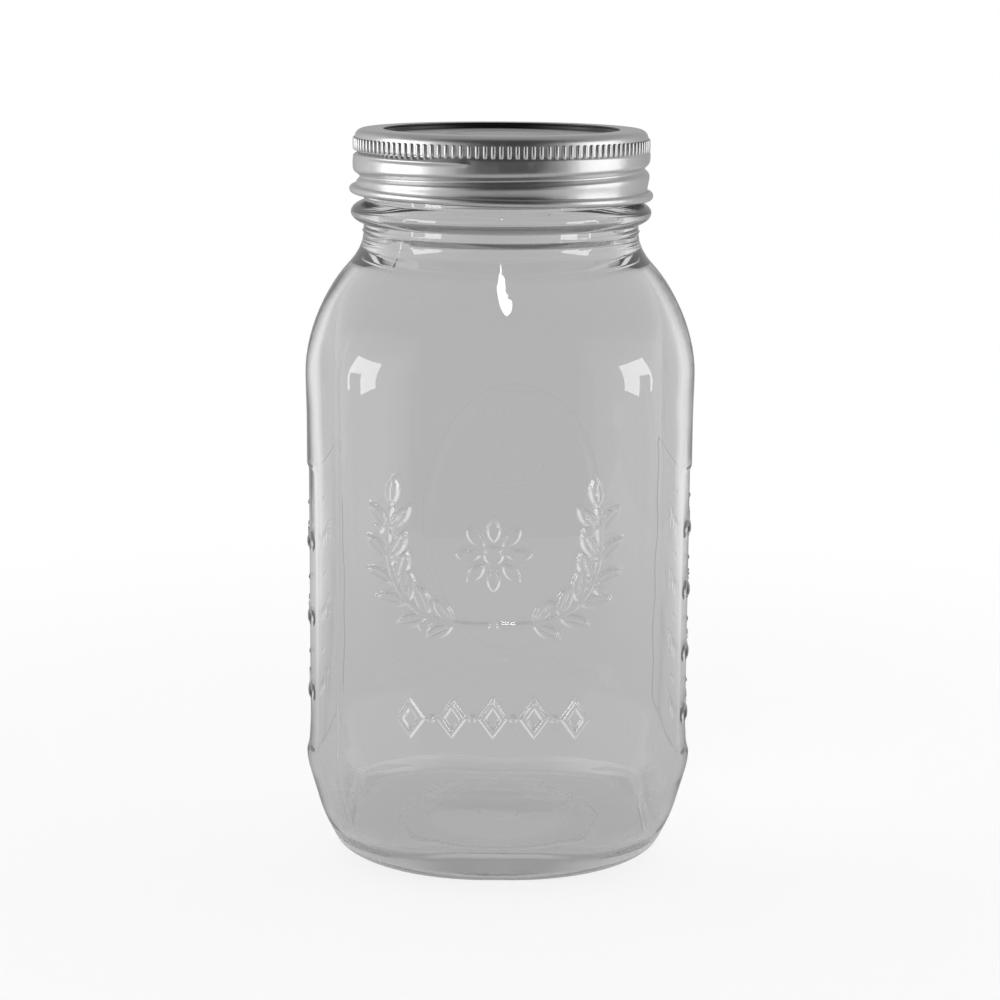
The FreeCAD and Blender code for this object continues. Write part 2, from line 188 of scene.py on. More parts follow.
def shade(value: Any) -> tuple[float, float, float, float]:
    """A grey level or an RGB triple as an opaque colour."""
    if isinstance(value, (int, float)):
        return (value, value, value, 1.0)
    return (*value[:3], 1.0)


def emptied(tree: bpy.types.NodeTree, output: str) -> Tree:
    """A builder for a tree that keeps nothing but a new output node."""
    tree.nodes.clear()
    return Tree(tree, tree.nodes.new(output))


def new_material(name: str) -> tuple[Material, Tree]:
    """An empty material and its tree builder."""
    material = bpy.data.materials.new(name)
    material.use_nodes = True
    return material, emptied(material.node_tree, "ShaderNodeOutputMaterial")


# ---------------------------------------------------------------- finishes


@dataclass(frozen=True)
class ClearGlass:
    """Colourless pressed glass, a little darker where it is thick and rough where it stands."""

    name: str = "clear_glass"
    tint: float = 0.975
    refraction: float = 1.5
    absorbed: float = 0.55
    density: float = 7.0
    shadow_tint: float = 0.93
    lost_after: tuple = (5.0, 9.0)
    # Grey of a painted glow that ends rays which have crossed the glass many times.
    painted_glow_level: float = 0.42
    ripple: tuple = (55.0, 1.0)
    grain: tuple = (420.0, 2.0)
    grain_share: float = 0.03
    bump: tuple = (0.03, 0.0004)
    stippled: float = 0.42
    bearing: tuple = (0.0004, 0.0010)
    heel_from: tuple = (0.0022, 0.0034)
    heel_to: tuple = (0.0080, 0.0088)
    outer: tuple = (0.0387, 0.0393)
    cavity: tuple = (0.0048, 0.0058)
    uneven: float = 0.11
    uneven_to: tuple = (0.007, 0.011)

    def _roughness(self, tree: Tree) -> Link:
        """Stippled at the bearing ring and on the outer heel, a little uneven in the base."""
        x, y, height = tree.split(tree.place())
        squareness = ((x * x) ** 2.0 + (y * y) ** 2.0) ** 0.25
        outer = squareness.between(*self.outer).most(1.0 - height.between(*self.cavity))
        heel = height.between(*self.heel_from) * (1.0 - height.between(*self.heel_to)) * outer
        stippled = (1.0 - height.between(*self.bearing)).most(heel) * self.stippled
        return stippled.most((1.0 - height.between(*self.uneven_to)) * self.uneven)

    def material(self) -> Material:
        """The glass, which lets lamps through to what stands behind it."""
        material, tree = new_material(self.name)
        height = tree.noise(*self.ripple) + tree.noise(*self.grain) * self.grain_share
        glass = tree.node("ShaderNodeBsdfPrincipled", inputs={
            "Base Color": shade(self.tint), "Roughness": self._roughness(tree),
            "IOR": self.refraction, "Transmission Weight": 1.0,
            "Normal": tree.bump(height, *self.bump)})
        clear = tree.node("ShaderNodeBsdfTransparent", inputs={"Color": shade(self.shadow_tint)})
        glass = tree.either(tree.ray("Is Shadow Ray"), glass, clear)
        # Painted glow: rays that have crossed the glass many times end in a grey glow that stands in
        # for the studio behind it.
        lost = tree.ray("Ray Depth").between(*self.lost_after)
        tree.wire(tree.either(lost, glass, tree.emission(self.painted_glow_level)))
        tree.wire(tree.node("ShaderNodeVolumeAbsorption", inputs={
            "Color": shade(self.absorbed), "Density": self.density}), "Volume")
        return material


@dataclass(frozen=True)
class SatinTin:
    """Tinplate with fine grain, soft waves and faint rubbed spots, and a ring of painted shade."""

    name: str
    colour: float = 0.62
    roughness: float = 0.28
    spread: float = 0.08
    rubbed: float = 0.05
    wave: float = 0.00006
    # Inner and outer radius in metres, and colour, of a ring of painted shade where the metal lies in
    # shadow.
    painted_shade_ring: tuple = (0.0, 0.0)
    painted_shade_colour: float = 0.06

    def material(self) -> Material:
        """The metal with its roughness and its surface broken up."""
        material, tree = new_material(self.name)
        broad, fine = tree.noise(70.0, 3.0), tree.noise(2600.0, 2.0)
        rubbed = tree.noise(300.0, 4.0).between(0.52, 0.72)
        x, y, _ = tree.split(tree.place())
        # Painted shade: the colour darkens between the two radii, where the opening's lip and the
        # disc's lowered wall lie in shadow.
        radius, (inner, outer) = (x * x + y * y) ** 0.5, self.painted_shade_ring
        dark = radius.between(inner - 0.0002, inner) * (1.0 - radius.between(outer, outer + 0.0001))
        colour = tree.mix(broad.between(0.3, 0.7), self.colour * 0.95, self.colour)
        height = broad * self.wave * 4.0 + fine * self.wave * 0.11
        tree.wire(tree.node("ShaderNodeBsdfPrincipled", inputs={
            "Base Color": tree.mix(dark, colour, self.painted_shade_colour), "Metallic": 1.0,
            "Roughness": self.roughness + (broad - 0.5) * self.spread + rubbed * self.rubbed,
            "Normal": tree.bump(height, 1.0, 1.0)}))
        return material


@dataclass(frozen=True)
class SealCompound:
    """Pale grey rubbery compound."""

    name: str = "seal_compound"
    colour: tuple = (0.42, 0.41, 0.39)
    mottled: float = 0.85
    roughness: float = 0.55

    def material(self) -> Material:
        """The compound with a faint mottling."""
        material, tree = new_material(self.name)
        mottle = tree.noise(500.0, 3.0)
        darker = tuple(c * self.mottled for c in self.colour)
        tree.wire(tree.node("ShaderNodeBsdfPrincipled", inputs={
            "Base Color": tree.mix(mottle, darker, self.colour), "Roughness": self.roughness,
            "Normal": tree.bump(mottle, 0.3, 0.0001)}))
        return material


# ---------------------------------------------------------------- curves


def smooth(share: Array) -> Array:
    """Smooth step of a share that is cut to nought and one."""
    t = np.clip(share, 0.0, 1.0)
    return t * t * (3.0 - 2.0 * t)


def bell(away: Array, reach: float) -> Array:
    """One on the crest of a ridge, falling to nothing beyond its reach."""
    return np.exp(-(away / reach) ** 2)


def polar(start: tuple, angle: float, reach: float) -> tuple:
    """The point at a reach from a start, towards an angle in radians."""
    return (start[0] + reach * math.cos(angle), start[1] + reach * math.sin(angle))


def arc(centre: tuple, radius: float, start: float, end: float, count: int) -> Array:
    """(Across, up) rows on a circle from one angle in degrees to another."""
    turn = np.radians(np.linspace(start, end, count))
    return np.column_stack([centre[0] + radius * np.cos(turn), centre[1] + radius * np.sin(turn)])


def curve(start: tuple, bend: tuple, end: tuple, steps: int) -> tuple:
    """Points of a quadratic curve that a bend pulls aside."""
    return tuple(tuple((1 - t) ** 2 * a + 2 * t * (1 - t) * b + t * t * c
                       for a, b, c in zip(start, bend, end))
                 for t in (i / steps for i in range(steps + 1)))


# ---------------------------------------------------------------- relief


@dataclass(frozen=True)
class Mark:
    """A shape raised from the glass, or sunk in it where its lift is negative."""

    lift: float
    edge: float = 0.8

    def distance(self, s: Array, z: Array) -> Array:
        """Distance outside the outline, negative inside it."""
        raise NotImplementedError


@dataclass(frozen=True)
class Stroke(Mark):
    """A line of even width through some points."""

    points: tuple = ()
    width: float = 1.5

    def distance(self, s: Array, z: Array) -> Array:
        """Distance outside the line's edge."""
        best = np.full(s.shape, FAR)
        for (x0, y0), (x1, y1) in zip(self.points, self.points[1:]):
            dx, dy = x1 - x0, y1 - y0
            along = np.clip(((s - x0) * dx + (z - y0) * dy) / (dx * dx + dy * dy), 0.0, 1.0)
            best = np.minimum(best, np.hypot(s - x0 - along * dx, z - y0 - along * dy))
        return best - self.width / 2


@dataclass(frozen=True)
class Leaf(Mark):
    """A pointed leaf from its foot to its tip."""

    foot: tuple = (0.0, 0.0)
    tip: tuple = (0.0, 8.0)
    width: float = 3.2

    def distance(self, s: Array, z: Array) -> Array:
        """Distance outside the two arcs that bound the leaf."""
        dx, dy = self.tip[0] - self.foot[0], self.tip[1] - self.foot[1]
        length, half = math.hypot(dx, dy), self.width / 2
        x, y = (s - self.foot[0]) / length, (z - self.foot[1]) / length
        radius = (length * length / 4 + half * half) / (2 * half)
        along = x * dx + y * dy - length / 2
        return np.hypot(along, np.abs(y * dx - x * dy) + radius - half) - radius


@dataclass(frozen=True)
class Spot(Mark):
    """A round boss."""

    centre: tuple = (0.0, 0.0)
    radius: float = 1.2

    def distance(self, s: Array, z: Array) -> Array:
        """Distance outside the circle."""
        return np.hypot(s - self.centre[0], z - self.centre[1]) - self.radius


@dataclass(frozen=True)
class Lozenge(Mark):
    """A diamond that stands on its point."""

    centre: tuple = (0.0, 0.0)
    half: tuple = (3.0, 4.5)

    def distance(self, s: Array, z: Array) -> Array:
        """Distance outside the four sides."""
        a, b = self.half
        reach = np.abs(s - self.centre[0]) / a + np.abs(z - self.centre[1]) / b - 1.0
        return reach / math.hypot(1.0 / a, 1.0 / b)


@dataclass(frozen=True)
class OvalLine(Mark):
    """The line of an upright oval."""

    centre: tuple = (0.0, 0.0)
    half: tuple = (20.0, 30.0)
    width: float = 1.2

    def distance(self, s: Array, z: Array) -> Array:
        """Distance outside the line's two edges."""
        (a, b), x, y = self.half, s - self.centre[0], z - self.centre[1]
        level = np.hypot(x / a, y / b) + 1e-9
        slope = np.hypot(x / a ** 2, y / b ** 2) / level + 1e-9
        return np.abs((level - 1.0) / slope) - self.width / 2


@dataclass(frozen=True)
class Field(Mark):
    """An upright panel with round corners."""

    centre: tuple = (0.0, 0.0)
    half: tuple = (10.0, 20.0)
    corner: float = 4.0

    def distance(self, s: Array, z: Array) -> Array:
        """Distance outside the panel's border."""
        x = np.abs(s - self.centre[0]) - self.half[0] + self.corner
        y = np.abs(z - self.centre[1]) - self.half[1] + self.corner
        outside = np.hypot(np.maximum(x, 0.0), np.maximum(y, 0.0))
        return outside + np.minimum(np.maximum(x, y), 0.0) - self.corner


@dataclass
class Sprig:
    """A stem that bends one way, with leaves in pairs and a fruit at some of them."""

    start: tuple
    bend: tuple
    end: tuple
    lift: float
    pairs: int = 6
    leaf: tuple = (8.6, 3.3)
    lean: float = 38.0
    stem: float = 1.3
    fruit: float = 1.35
    fruit_off: float = 2.6
    steps: int = 14

    def marks(self) -> list[Mark]:
        """Stem, leaves with their veins, and fruit."""
        line = curve(self.start, self.bend, self.end, self.steps)
        marks: list[Mark] = [Stroke(self.lift, points=line, width=self.stem)]
        for i in range(self.pairs):
            at = (i + 1) / (self.pairs + 0.6) * self.steps
            low = int(at)
            (x0, y0), (x1, y1) = line[low:low + 2]
            foot = (x0 + (x1 - x0) * (at - low), y0 + (y1 - y0) * (at - low))
            heading = math.atan2(y1 - y0, x1 - x0)
            for hand in (-1, 1):
                angle = heading + hand * math.radians(self.lean + 3.0 * (i % 2))
                marks += self._leaf(foot, angle, 1.0 - 0.3 * abs(i / self.pairs - 0.4))
            if i % 2:
                off = self.fruit_off * (1 if i % 4 == 1 else -1)
                centre = polar(foot, heading + QUARTER, off)
                marks.append(Spot(self.lift, centre=centre, radius=self.fruit))
        (x0, y0), (x1, y1) = line[-2:]
        return marks + self._leaf(line[-1], math.atan2(y1 - y0, x1 - x0), 0.9)

    def _leaf(self, foot: tuple, angle: float, size: float) -> list[Mark]:
        """One leaf and the vein sunk in it."""
        length, width = self.leaf[0] * size, self.leaf[1] * size
        base, low, high, tip = (polar(foot, angle, length * at) for at in (0.08, 0.25, 0.8, 1.0))
        return [Leaf(self.lift, foot=base, tip=tip, width=width),
                Stroke(-self.lift * 0.55, 0.4, points=(low, high), width=0.3)]


NUMERALS = {
    1: (((-0.25, 0.75), (0.05, 1.0), (0.05, 0.0)),),
    2: (((-0.4, 0.72), (-0.3, 0.92), (0.0, 1.0), (0.3, 0.9), (0.36, 0.68), (0.2, 0.42),
         (-0.4, 0.0), (0.42, 0.0)),),
    3: (((-0.38, 0.85), (-0.1, 1.0), (0.25, 0.93), (0.35, 0.74), (0.2, 0.57), (-0.05, 0.52),
         (0.25, 0.46), (0.4, 0.25), (0.25, 0.06), (-0.1, 0.0), (-0.4, 0.13)),),
    4: (((0.2, 0.0), (0.2, 1.0), (-0.42, 0.3), (0.45, 0.3)),),
}


def numeral(digit: int, s: float, z: float, tall: float, lift: float) -> list[Mark]:
    """A plain digit whose foot stands at a place."""
    return [Stroke(lift, 0.4, points=tuple((s + x * tall, z + y * tall) for x, y in line), width=0.8)
            for line in NUMERALS[digit]]


class Side(Enum):
    """The four flats, by their quarter turns from the front towards the right."""

    FRONT = 0
    RIGHT = 1
    BACK = 2
    LEFT = 3


@dataclass
class Relief:
    """Everything that the mould leaves on the outside of the body."""

    lift: float = 0.95
    back_lift: float = 0.45
    front_shift: float = -1.2
    garland_low: float = 65.5
    garland_high: float = 93.0
    garland_reach: float = 24.0
    petals: int = 8
    petal_reach: tuple = (3.2, 8.6)
    row_level: float = 43.0
    row_pitch: float = 9.6
    oval_centre: tuple = (-4.2, 71.5)
    oval_half: tuple = (23.5, 36.0)
    grip_depth: float = 0.45
    grip_half: float = 24.9
    grip_low: float = 28.0
    grip_high: float = 98.5
    tick_long: tuple = (21.5, 12.5)
    tick_short: tuple = (17.5, 13.5)
    numeral_off: float = 7.0
    numeral_tall: float = 4.8
    ticks_right: tuple = (37.4, 15.4, 4)
    ticks_left: tuple = (42.5, 18.6, 3)
    reach: float = 127.0
    marks: dict = field(default_factory=dict)

    def __post_init__(self) -> None:
        """Lay out the marks of each side."""
        self.marks = {Side.FRONT: self._front(), Side.BACK: self._back(),
                      Side.RIGHT: self._grip(self.ticks_right, -1),
                      Side.LEFT: self._grip(self.ticks_left, 1)}

    def _front(self) -> list[Mark]:
        """A two-branched garland round a rosette, over a row of lozenges."""
        middle, low, reach = self.front_shift, self.garland_low, self.garland_reach
        heart = (middle, (low + self.garland_high) / 2 + 3.0)
        marks: list[Mark] = [Spot(self.lift, centre=heart, radius=2.1)]
        for hand in (-1, 1):
            marks += Sprig((middle + hand * 1.5, low), (middle + hand * (reach + 4.0), low - 1.0),
                           (middle + hand * reach, self.garland_high), self.lift).marks()
        for i in range(self.petals):
            foot, tip = (polar(heart, TURN * i / self.petals, out) for out in self.petal_reach)
            marks.append(Leaf(self.lift, foot=foot, tip=tip, width=2.7))
        for i in range(-2, 3):
            place = (middle + i * self.row_pitch, self.row_level)
            marks += [Lozenge(self.lift, centre=place, half=(3.3, 4.6)),
                      Lozenge(-self.lift, centre=place, half=(1.7, 2.6))]
            if i < 2:
                gap = (place[0] + self.row_pitch / 2, self.row_level)
                marks.append(Spot(self.lift, centre=gap, radius=0.8))
        return marks

    def _back(self) -> list[Mark]:
        """A plain oval with an upright sprig in it."""
        x, z = self.oval_centre
        oval = OvalLine(self.back_lift, 1.4, centre=(x, z), half=self.oval_half, width=1.9)
        sprig = Sprig((x, z - 22.0), (x + 4.0, z), (x - 1.0, z + 17.0), self.back_lift * 0.45,
                      pairs=5, leaf=(10.5, 4.4), lean=44.0)
        return [oval, *sprig.marks()]

    def _grip(self, scale: tuple, hand: int) -> list[Mark]:
        """A shallow grip panel with a scale of ticks and numbers at its forward border."""
        middle, half = (self.grip_low + self.grip_high) / 2, (self.grip_high - self.grip_low) / 2
        marks: list[Mark] = [Field(-self.grip_depth, 1.3, centre=(0.0, middle),
                                   half=(self.grip_half, half), corner=3.0)]
        first, pitch, count = scale
        for i in range(count):
            z = first + i * pitch
            long = tuple((hand * x, z) for x in self.tick_long)
            short = tuple((hand * x, z + pitch / 2) for x in self.tick_short)
            marks += [Stroke(self.grip_depth + 0.1, 1.8, points=long, width=2.4),
                      Stroke(self.grip_depth * 0.6, 0.8, points=short, width=0.9)]
            marks += numeral(i + 1, hand * self.numeral_off, z - self.numeral_tall / 2,
                             self.numeral_tall, self.lift)
        return marks

    def survey(self, side: Array, s: Array, z: Array) -> tuple[Array, Array]:
        """Read the marks at places on the flats.

        Args:
            side: the flat each place is on.
            s: distance over the surface from the flat's middle.
            z: height.

        Returns:
            Height over the plain glass, the highest raised mark over the deepest sunk one, and
            distance to the nearest outline.
        """
        raised, sunk, near = np.zeros(s.shape), np.zeros(s.shape), np.full(s.shape, FAR)
        for name, marks in self.marks.items():
            here = np.flatnonzero((z < self.reach) & (side == name.value))
            for mark in marks:
                gap = mark.distance(s[here], z[here])
                rise = mark.lift * smooth(0.5 - gap / mark.edge)
                raised[here] = np.maximum(raised[here], rise)
                sunk[here] = np.minimum(sunk[here], rise)
                near[here] = np.minimum(near[here], np.abs(gap))
        return raised + sunk, near


# ---------------------------------------------------------------- pieces


def new_piece(name: str, mesh: Mesh, materials: Iterable) -> Piece:
    """Link a mesh as an object at the origin with its materials."""
    piece = bpy.data.objects.new(name, mesh)
    bpy.context.collection.objects.link(piece)
    mesh.materials.clear()
    for material in materials:
        mesh.materials.append(material)
    return piece


def finish_piece(piece: Piece, slot: str, *nodes: str) -> Piece:
    """Ride the body and hide the solids that the piece stands for."""
    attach(piece, BODY)
    if nodes:
        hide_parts(*nodes)
    LOG.info("%s: %d faces", piece.name, len(piece.data.polygons))
    return piece


def applied(piece: Piece) -> None:
    """Replace a piece's mesh by the result of its modifiers and drop them."""
    shown = piece.evaluated_get(bpy.context.evaluated_depsgraph_get())
    mesh = bpy.data.meshes.new_from_object(shown)
    piece.modifiers.clear()
    piece.data = mesh


def cylinder(angle: Array, radius: Array, height: Array) -> Array:
    """Points at angles from the front towards the right."""
    return np.column_stack([radius * np.sin(angle), -radius * np.cos(angle), height])


def turned(name: str, section: Array, columns: int, shape: Callable[..., Array]) -> Mesh:
    """Turn a half section into a smooth skin.

    Args:
        name: the mesh's name.
        section: (radius, height) rows in millimetres, upper face first.
        columns: how many steps the turn takes.
        shape: makes points of angles, radii and heights.

    Returns:
        The mesh in metres, open at the ends of the section.
    """
    rows = len(section)
    angle = np.repeat(TURN * np.arange(columns) / columns, rows)
    angle = np.where(angle > math.pi, angle - TURN, angle)
    points = MM * shape(angle, *np.tile(section, (columns, 1)).T)
    faces = [(i * rows + j, i * rows + j + 1, k * rows + j + 1, k * rows + j)
             for i in range(columns) for k in [(i + 1) % columns] for j in range(rows - 1)]
    mesh = bpy.data.meshes.new(name)
    mesh.from_pydata(points.tolist(), [], faces)
    mesh.polygons.foreach_set("use_smooth", [True] * len(faces))
    return mesh


# ---------------------------------------------------------------- glass jar


class Zone(Enum):
    """Stretches of the wall's outline."""

    BASE = 0
    BODY = 1
    FINISH = 2
    INSIDE = 3


@dataclass
class GlassJar:
    """One closed skin of glass: base, square body, round shoulder, finish, bore and cavity."""

    half: float
    tall: float
    corner_offset: float = 16.4
    foot_offset: float = 3.0
    foot_square: float = 12.0
    panel_drop: float = 0.5
    shoulder_drop: float = 0.3
    heel_height: float = 25.5
    shoulder_height: float = 121.0
    contact_blend: float = 11.0
    shoulder_radius: float = 36.0
    heel_taper: float = 16.0
    heel_radius: float = 4.6
    edge_blend: float = 0.7
    wall: float = 3.0
    floor: float = 6.0
    floor_dome: float = 1.3
    inner_heel_radius: float = 5.0
    pushup_radius: float = 27.0
    pushup_rise: float = 2.2
    ring_radius: float = 24.6
    button_radius: float = 5.2
    seam_height: float = 153.1
    round_below_seam: float = 3.8
    neck_radius: float = 33.5
    neck_blend: float = 7.6
    finish_radius: float = 33.4
    bead_height: float = 158.0
    bead_radius: float = 36.6
    bead_half: float = 2.7
    bore_radius: float = 30.15
    bore_blend: float = 1.6
    lip_round: float = 1.1
    thread_lift: float = 1.15
    thread_pitch: float = 6.35
    thread_low: float = 163.6
    thread_turns: float = 1.35
    thread_half: float = 0.95
    columns: int = 144
    levels: int = 3
    row_pitches: tuple = (0.6, 0.5, 2.1, 0.45, 2.6, 0.7, 1.3)
    coarse: float = 2.3
    waviness: float = 0.09
    seam_lift: float = 0.08
    seam_half: float = 0.35
    relief: Relief = field(default_factory=Relief)

    def __post_init__(self) -> None:
        """Sample the outline finely and choose the rows of the coarse grid."""
        self.taper = math.radians(self.heel_taper)
        self.slope = math.tan(self.taper)
        self.arc_centre = self.half - self.shoulder_drop - self.shoulder_radius
        self.round_from = self.seam_height - self.round_below_seam
        self.inner_lip = self.lip_round * 0.6
        cavity = (self.inner_heel_radius, self.half - self.wall, self.floor)
        pieces = [
            (Zone.BASE, self._underside()),
            (Zone.BASE, self._squared(self._heel(self.heel_radius, self.half, 0.0))),
            (Zone.BODY, self._side()),
            (Zone.FINISH, self._finish()),
            (Zone.INSIDE, self._inside()),
            (Zone.INSIDE, self._heel(*cavity)[::-1]),
            (Zone.INSIDE, self._floor(self._foot(*cavity))),
        ]
        table, rows, zones, start = [], [], [], 0.0
        for (zone, points), pitch in zip(pieces, self.row_pitches):
            steps = np.hypot(np.diff(points[:, 0]), np.diff(points[:, 2]))
            along = start + np.concatenate([[0.0], np.cumsum(steps)])
            count = max(1, round((along[-1] - start) / pitch))
            rows += list(np.linspace(start, along[-1], count + 1)[:-1])
            zones += [zone.value] * len(along)
            table.append(np.column_stack([along, points]))
            start = along[-1]
        self.outline = np.vstack(table)
        self.zones = np.array(zones)
        self.rows = np.array([*rows, start])

    # The outline's pieces are arrays of (half width, corner offset, height).

    @staticmethod
    def _points(half: Any, offset: Any, height: Any) -> Array:
        """Columns of equal length from numbers or arrays."""
        return np.column_stack(np.broadcast_arrays(half, offset, height)).astype(float)

    def _underside(self) -> Array:
        """Pushed-up middle with its ring mark, then the flat bearing face."""
        r = np.linspace(0.0, self.pushup_radius, 200)
        dome = self.pushup_rise * (1.0 - smooth(r / self.pushup_radius))
        marks = 0.22 * bell(r - self.ring_radius, 0.7) + 0.5 * smooth((self.button_radius - r) / 0.9)
        foot = self._foot(self.heel_radius, self.half, 0.0)
        t = np.linspace(0.0, 1.0, 40)[1:]
        face = self._points(self.pushup_radius + (foot - self.pushup_radius) * t,
                            self.foot_offset * t, 0.0)
        return np.vstack([self._points(r, 0.0, dome + marks), face])

    def _squared(self, points: Array) -> Array:
        """Give outer points their corner offset: the foot is nearly round, the heel is square."""
        share = points[:, 2] / self.foot_square
        gap = np.maximum(0.3 - np.abs(share - 1.0), 0.0) / 0.3
        share = np.minimum(share, 1.0) - gap * gap * 0.075
        points[:, 1] = self.foot_offset + (self.corner_offset - self.foot_offset) * share
        return points

    def _foot(self, radius: float, contact: float, level: float) -> float:
        """Half width where the heel's round meets a level floor."""
        line = contact - self.slope * (self.heel_height - level)
        return line + radius * self.slope - radius / math.cos(self.taper)

    def _heel(self, radius: float, contact: float, level: float) -> Array:
        """The round from a level floor to the leaning wall."""
        centre = (self._foot(radius, contact, level), level + radius)
        half, height = arc(centre, radius, -90.0, -self.heel_taper, 90).T
        return self._points(half, self.corner_offset, height)

    def _wall_line(self, height: Array, inset: float) -> Array:
        """Half width of the leaning heel and the panel between its contact rings."""
        cone = self.half - self.slope * (self.heel_height - height)
        low = smooth((height - self.heel_height) / self.contact_blend)
        high = smooth((self.shoulder_height - height) / self.contact_blend)
        body = self.half - self.panel_drop * low + (self.panel_drop - self.shoulder_drop) * (1.0 - high)
        gap = np.maximum(self.edge_blend - np.abs(cone - body), 0.0) / self.edge_blend
        return np.minimum(cone, body) - gap * gap * self.edge_blend / 4 - inset

    def _fade(self, height: Array, top: float) -> Array:
        """Corner offset, which falls to nothing up the shoulder."""
        share = np.clip((height - self.shoulder_height) / (top - self.shoulder_height), 0.0, 1.0)
        return self.corner_offset * (1.0 + np.cos(math.pi * share)) / 2

    def _side(self) -> Array:
        """Outer wall from the heel's round to the neck."""
        start = self.heel_radius * (1.0 - math.sin(self.taper))
        low = np.linspace(start, self.shoulder_height, 900)
        body = self._squared(self._points(self._wall_line(low, 0.0), 0.0, low))
        bend = self.seam_height - self.neck_blend
        rise = np.linspace(self.shoulder_height, bend, 260)[1:]
        up = rise - self.shoulder_height
        across = np.sqrt(self.shoulder_radius ** 2 - up ** 2)
        half = self.arc_centre + across
        t = np.linspace(0.0, 1.0, 60)[1:]
        fall = -up[-1] / across[-1]
        neck = (half[-1] * (1.0 - smooth(t)) + self.neck_radius * smooth(t)
                + self.neck_blend * (fall * (t ** 3 - 2 * t ** 2 + t) - 0.05 * (t ** 3 - t ** 2)))
        height = bend + t * self.neck_blend
        return np.vstack([body, self._points(half, self._fade(rise, self.round_from), rise),
                          self._points(neck, self._fade(height, self.round_from), height)])

    def _finish(self) -> Array:
        """Seam ring, bead, threaded wall, lip and the start of the bore."""
        low, high = self.seam_height, self.tall - self.lip_round
        z = np.linspace(low, high, 700)
        ring = 0.38 * bell(z - low - 0.25, 0.35)
        lean = (self.neck_radius - self.finish_radius) * smooth((self.bead_height - z) / 3.0)
        swell = np.clip(1.0 - ((z - self.bead_height) / self.bead_half) ** 2, 0.0, 1.0) ** 0.75
        wall = self.finish_radius + ring + lean + (self.bead_radius - self.finish_radius) * swell
        outer = arc((self.finish_radius - self.lip_round, high), self.lip_round, 0.0, 90.0, 30)[1:]
        inner = arc((self.bore_radius + self.inner_lip, self.tall - self.inner_lip), self.inner_lip,
                    90.0, 180.0, 24)
        half, height = np.vstack([np.column_stack([wall, z]), outer, inner]).T
        return self._points(half, 0.0, height)

    def _inside(self) -> Array:
        """Bore, inner shoulder and inner panel, from the top down."""
        radius = self.shoulder_radius - self.wall
        foot = self.floor + self.inner_heel_radius * (1.0 - math.sin(self.taper))
        z = np.linspace(self.tall - self.inner_lip, foot, 1600)
        rise = np.clip(z - self.shoulder_height, 0.0, radius * 0.999)
        above = z > self.shoulder_height
        body = np.where(above, self.arc_centre + np.sqrt(radius ** 2 - rise ** 2),
                        self._wall_line(z, self.wall))
        gap = np.maximum(self.bore_blend - np.abs(body - self.bore_radius), 0.0) / self.bore_blend
        bored = np.maximum(body, self.bore_radius) + gap * gap * self.bore_blend / 4
        meet = self.shoulder_height + math.sqrt(
            radius ** 2 - (self.bore_radius - self.arc_centre) ** 2)
        return self._points(np.where(above, bored, body), self._fade(z, meet), z)

    def _floor(self, edge: float) -> Array:
        """Inside of the base, domed over the pushed-up middle."""
        half = np.linspace(edge, 0.0, 200)
        offset = self.corner_offset * np.clip((half - 8.0) / (edge - 8.0), 0.0, 1.0)
        return self._points(half, np.minimum(offset, half * 0.55),
                            self.floor + self.floor_dome * smooth(1.0 - half / edge))

    def _locate(self, angle: Array, along: Array) -> tuple[Array, ...]:
        """Read the outline and the flats.

        Args:
            angle: radians from the front, towards the right, from nought to a turn.
            along: distance along the outline from the middle of the base.

        Returns:
            Half width, corner offset, height, zone, side, angle from the side's middle, and
            signed distance over the surface from it.
        """
        half, offset, height = (np.interp(along, self.outline[:, 0], self.outline[:, i])
                                for i in (1, 2, 3))
        zone = self.zones[np.searchsorted(self.outline[:, 0], along).clip(0, len(self.zones) - 1)]
        side = np.round(angle / QUARTER).astype(int)
        hand, lean = np.sign(angle - side * QUARTER), np.abs(angle - side * QUARTER)
        reach = self._radius(lean, half, offset)
        turn = np.arctan2(reach * np.sin(lean) - offset, reach * np.cos(lean) - offset)
        across = np.where(half * np.tan(lean) <= offset, half * np.tan(lean),
                          offset + (half - offset) * turn)
        return half, offset, height, zone, side % 4, lean, hand * across

    def place(self, angle: Array, along: Array) -> Array:
        """Points of the skin in metres, by angle and distance along the outline."""
        angle = np.mod(angle, TURN)
        half, offset, height, zone, side, lean, s = self._locate(
            angle, np.clip(along, 0.0, self.outline[-1, 0]))
        body = zone == Zone.BODY.value
        half = half + np.where(body, self.relief.survey(side, s, height)[0], 0.0)
        seam = self.seam_lift * bell((lean - QUARTER / 2) * half, self.seam_half)
        half = half + np.where(body & self._seamed(angle), seam, 0.0)
        half = half + np.where(zone == Zone.FINISH.value, self._thread(angle, height), 0.0)
        half = half + np.where(zone == Zone.INSIDE.value, self._waves(angle, height, half), 0.0)
        return MM * cylinder(angle, self._radius(lean, half, offset), height)

    @staticmethod
    def _seamed(angle: Array) -> Array:
        """True near the two opposite corners where the mould parts."""
        return np.abs(np.sin(angle - math.pi * 0.75)) < 0.25

    @staticmethod
    def _radius(lean: Array, half: Array, offset: Array) -> Array:
        """Reach of a rounded square at an angle from the middle of its flat."""
        inside = (half - offset) ** 2 - (offset * (np.cos(lean) - np.sin(lean))) ** 2
        corner = offset * (np.cos(lean) + np.sin(lean)) + np.sqrt(np.maximum(inside, 0.0))
        return np.where(half * np.tan(lean) <= offset, half / np.cos(lean), corner)

    def _thread(self, angle: Array, height: Array) -> Array:
        """The glass thread, a ridge that winds up the finish and fades at its ends."""
        out = np.zeros(angle.shape)
        for turn in range(2):
            wound = (angle + TURN * turn) / TURN
            level = self.thread_low + self.thread_pitch * wound
            ends = smooth(wound * 12.0) * smooth((self.thread_turns - wound) * 12.0)
            out = np.maximum(out, ends * bell(height - level, self.thread_half))
        return self.thread_lift * out

